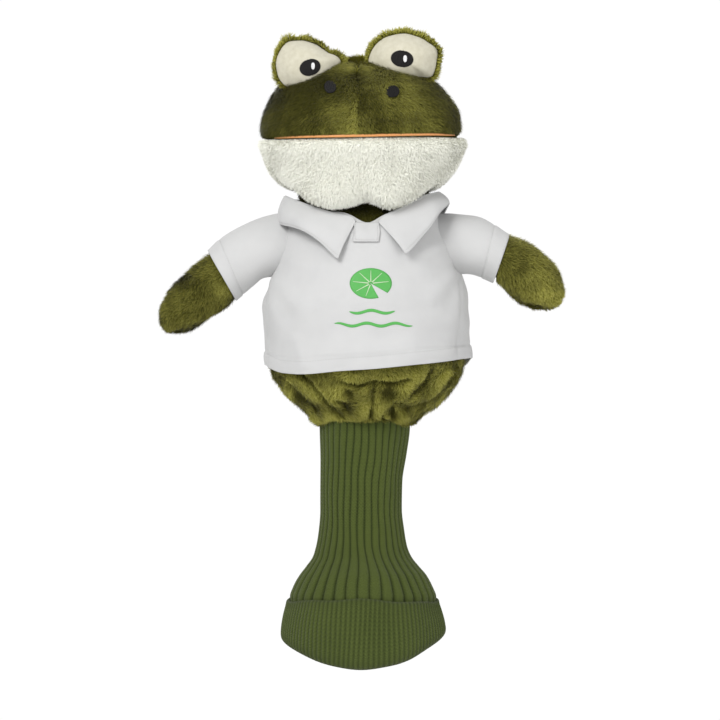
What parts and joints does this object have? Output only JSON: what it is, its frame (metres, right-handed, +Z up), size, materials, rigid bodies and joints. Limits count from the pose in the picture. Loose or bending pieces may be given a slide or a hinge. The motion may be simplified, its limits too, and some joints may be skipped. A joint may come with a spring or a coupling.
{
  "type": "driver head cover",
  "caption": "Plush frog head cover for a golf driver, in a short collared shirt, on a long ribbed knit sock with a turned-up cuff.",
  "frame": {"origin": "on the club's shaft axis, at the seam where the sock meets the plush body, which is the mouth of the pocket for the club head", "axes": "+Z up along the shaft axis towards the head, -Y the toy's front, +X the toy's left"},
  "size_m": [0.3053, 0.1409, 0.478],
  "materials": {
    "green_plush": "matte",
    "wadding": "matte",
    "lining_cloth": "matte",
    "shirt_jersey": "matte",
    "print_film": "matte",
    "green_knit": "matte",
    "white_fleece": "matte",
    "lip_satin": "satin",
    "eye_fleece": "matte",
    "black_thread": "matte",
    "white_thread": "matte"
  },
  "bodies": {
    "torso": {"body_front_panel": "green_plush", "body_back_panel": "green_plush", "pocket_padding_front": "wadding", "pocket_padding_back": "wadding", "pocket_lining": "lining_cloth", "chest_stuffing": "wadding", "shirt_front": "shirt_jersey", "shirt_back": "shirt_jersey", "collar_stand": "shirt_jersey", "collar_fall": "shirt_jersey", "placket": "shirt_jersey", "chest_print": "print_film", "sock_tube": "green_knit", "cuff_inner_layer": "green_knit", "cuff_outer_layer": "green_knit"},
    "neck": {"neck_tube": "green_plush", "neck_stuffing": "wadding"},
    "head": {"head_top_panel": "green_plush", "head_back_panel": "green_plush", "chin_panel": "white_fleece", "mouth_piping": "lip_satin", "head_stuffing": "wadding", "left_eye_front": "eye_fleece", "right_eye_front": "eye_fleece", "left_eye_back": "green_plush", "right_eye_back": "green_plush", "left_eye_stuffing": "wadding", "right_eye_stuffing": "wadding", "left_pupil": "black_thread", "right_pupil": "black_thread", "left_pupil_glint": "white_thread", "right_pupil_glint": "white_thread", "left_nostril": "black_thread", "right_nostril": "black_thread"},
    "left_arm": {"left_arm_shell": "green_plush", "left_arm_stuffing": "wadding", "left_sleeve": "shirt_jersey"},
    "right_arm": {"right_arm_shell": "green_plush", "right_arm_stuffing": "wadding", "right_sleeve": "shirt_jersey"}
  },
  "joints": [
    {"name": "head_turn", "type": "hinge", "parent": "torso", "child": "neck", "pos_m": [0, 0, 0.174], "axis": [0, 0, 1], "range_deg": [-25, 25], "stiffness_Nm_per_rad": 3},
    {"name": "head_nod", "type": "hinge", "parent": "neck", "child": "head", "pos_m": [0, 0, 0.174], "axis": [1, 0, 0], "range_deg": [-12, 6], "stiffness_Nm_per_rad": 3},
    {"name": "left_shoulder", "type": "hinge", "parent": "torso", "child": "left_arm", "pos_m": [0.061, 0, 0.128], "axis": [0, -1, 0], "range_deg": [-10, 45], "stiffness_Nm_per_rad": 1},
    {"name": "right_shoulder", "type": "hinge", "parent": "torso", "child": "right_arm", "pos_m": [-0.061, 0, 0.128], "axis": [0, 1, 0], "range_deg": [-10, 45], "stiffness_Nm_per_rad": 1}
  ]
}
